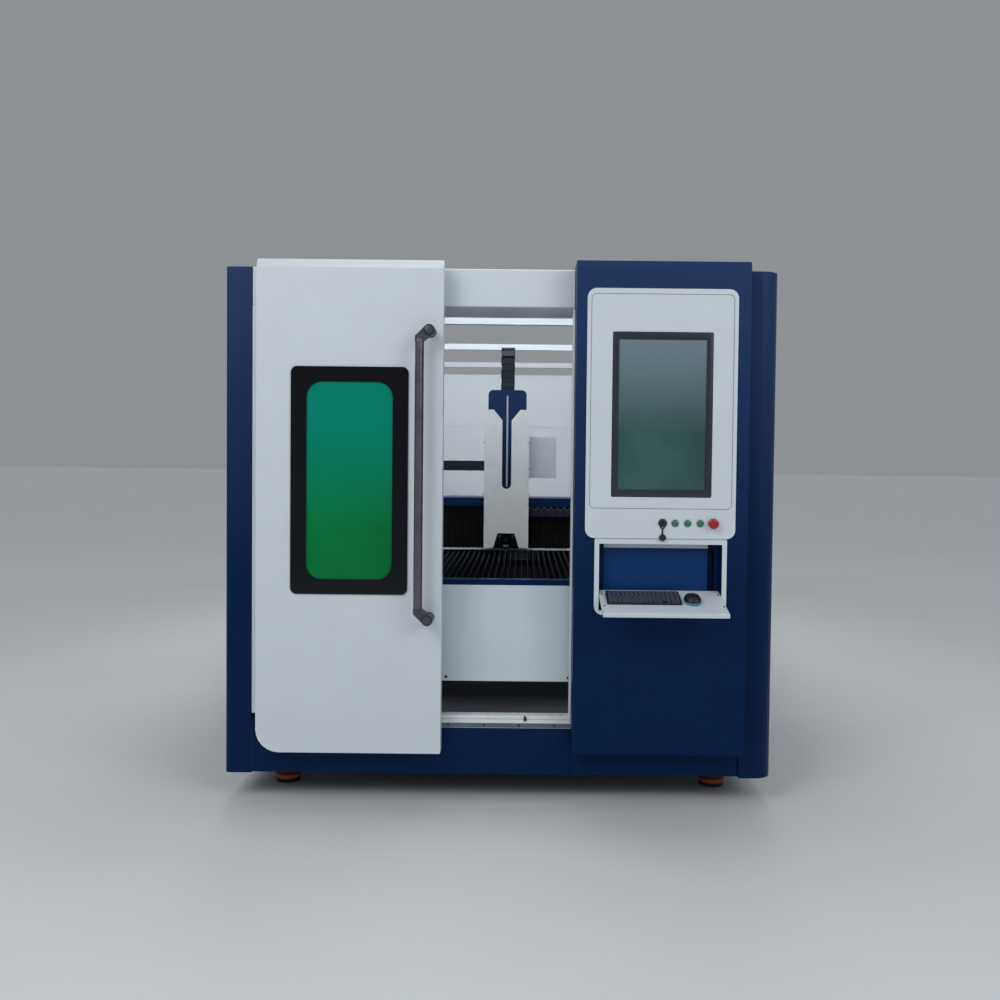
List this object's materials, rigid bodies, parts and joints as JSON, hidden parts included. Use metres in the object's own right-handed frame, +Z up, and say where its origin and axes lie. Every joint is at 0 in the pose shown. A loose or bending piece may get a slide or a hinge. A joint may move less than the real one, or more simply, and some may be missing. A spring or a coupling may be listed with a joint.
{
  "type": "laser cutting machine",
  "caption": "Enclosed flat-bed laser cutting machine with a sliding front door, slat bed, moving gantry and head, and a control cabinet with a fold-down keyboard tray.",
  "frame": {"origin": "centre of the outer box on the floor", "axes": "+Z up, front towards -Y, +X to the right of someone in front of it"},
  "size_m": [2.18, 3.6495, 2.1436],
  "materials": {
    "bellows_cloth": "matt",
    "black_paint": "matt",
    "black_rubber": "matt",
    "button_green": "gloss",
    "chain_plastic": "matt",
    "dark_steel": "satin",
    "grey_sheet": "satin",
    "handle_bronze": "anodised",
    "key_plastic": "matt",
    "mouse_plastic": "gloss",
    "navy_paint": "satin",
    "rail_steel": "polished",
    "safety_glass": "gloss",
    "satin_steel": "satin",
    "screen_glass": "gloss",
    "slat_steel": "oxidised",
    "stop_red": "gloss",
    "white_paint": "satin"
  },
  "bodies": {
    "enclosure": {"base_frame": "navy_paint", "foot_front_left": "dark_steel", "foot_front_right": "dark_steel", "foot_middle_left": "dark_steel", "foot_middle_right": "dark_steel", "foot_rear_left": "dark_steel", "foot_rear_right": "dark_steel", "left_pillar": "navy_paint", "right_pillar": "navy_paint", "header_beam": "white_paint", "fixed_front_panel": "white_paint", "left_side_panel": "navy_paint", "right_side_panel": "navy_paint", "roof_frame": "white_paint", "rear_frame": "white_paint", "rear_panel": "white_paint", "sill_rail": "white_paint", "bed_frame": "navy_paint", "apron_panel": "satin_steel", "scrap_pan": "dark_steel", "y_rail_left": "rail_steel", "y_rail_right": "rail_steel", "slat_table": "slat_steel", "control_cabinet": "navy_paint", "control_panel": "white_paint", "port_collar": "black_paint", "screen_bezel": "black_paint", "screen_glass": "screen_glass", "keyboard_frame": "white_paint", "door_track": "rail_steel"},
    "door": {"door_panel": "white_paint", "window_frame": "black_paint", "window_glass": "safety_glass", "handle_tube": "handle_bronze", "handle_bracket_lower": "black_paint", "handle_bracket_upper": "black_paint", "door_runner_left": "rail_steel", "door_runner_right": "rail_steel"},
    "gantry": {"gantry_beam": "navy_paint", "gantry_truck_left": "dark_steel", "gantry_truck_right": "dark_steel", "bellows_left": "bellows_cloth", "bellows_right": "bellows_cloth", "x_chain_lower": "chain_plastic"},
    "cross_chain": {"x_chain_bend": "chain_plastic"},
    "carriage": {"x_carriage": "dark_steel", "side_plate": "grey_sheet", "x_chain_upper": "chain_plastic", "z_chain": "chain_plastic"},
    "head_slide": {"head_plate": "navy_paint", "head_cover": "white_paint", "cutting_head": "dark_steel"},
    "keyboard_flap": {"keyboard_tray": "white_paint", "keyboard": "key_plastic", "mouse": "mouse_plastic"},
    "first_button": {"button_1": "button_green"},
    "second_button": {"button_2": "button_green"},
    "third_button": {"button_3": "button_green"},
    "stop": {"stop_button": "stop_red"},
    "dust_cap": {"port_cap": "black_rubber"}
  },
  "joints": [
    {"name": "door_slide", "type": "slide", "parent": "enclosure", "child": "door", "axis": [1, 0, 0], "range_m": [0, 0.503]},
    {"name": "gantry_travel", "type": "slide", "parent": "enclosure", "child": "gantry", "axis": [0, 1, 0], "range_m": [-0.93, 1.45]},
    {"name": "cross_travel", "type": "slide", "parent": "gantry", "child": "carriage", "axis": [1, 0, 0], "range_m": [-0.62, 0.62], "deforming": ["bellows_left", "bellows_right", "x_chain_upper", "x_chain_lower"]},
    {"name": "chain_roll", "type": "slide", "parent": "gantry", "child": "cross_chain", "axis": [1, 0, 0], "range_m": [-0.31, 0.31]},
    {"name": "head_lift", "type": "slide", "parent": "carriage", "child": "head_slide", "axis": [0, 0, 1], "range_m": [0, 0.075], "deforming": ["z_chain"]},
    {"name": "tray_hinge", "type": "hinge", "parent": "enclosure", "child": "keyboard_flap", "pos_m": [0.6195, -1.63498, 0.8465], "axis": [-1, 0, 0], "range_deg": [0, 104.2]},
    {"name": "first_button_press", "type": "slide", "parent": "enclosure", "child": "first_button", "axis": [0, 1, 0], "range_m": [0, 0.004], "stiffness_N_per_m": 300},
    {"name": "second_button_press", "type": "slide", "parent": "enclosure", "child": "second_button", "axis": [0, 1, 0], "range_m": [0, 0.004], "stiffness_N_per_m": 300},
    {"name": "third_button_press", "type": "slide", "parent": "enclosure", "child": "third_button", "axis": [0, 1, 0], "range_m": [0, 0.004], "stiffness_N_per_m": 300},
    {"name": "stop_press", "type": "slide", "parent": "enclosure", "child": "stop", "axis": [0, 1, 0], "range_m": [0, 0.005]},
    {"name": "cap_swing", "type": "hinge", "parent": "enclosure", "child": "dust_cap", "pos_m": [0.6245, -1.65503, 1.1145], "axis": [0, 1, 0], "range_deg": [-80, 80]}
  ],
  "couplings": [
    {"joint": "chain_roll", "follows": "cross_travel", "ratio": 0.5}
  ]
}
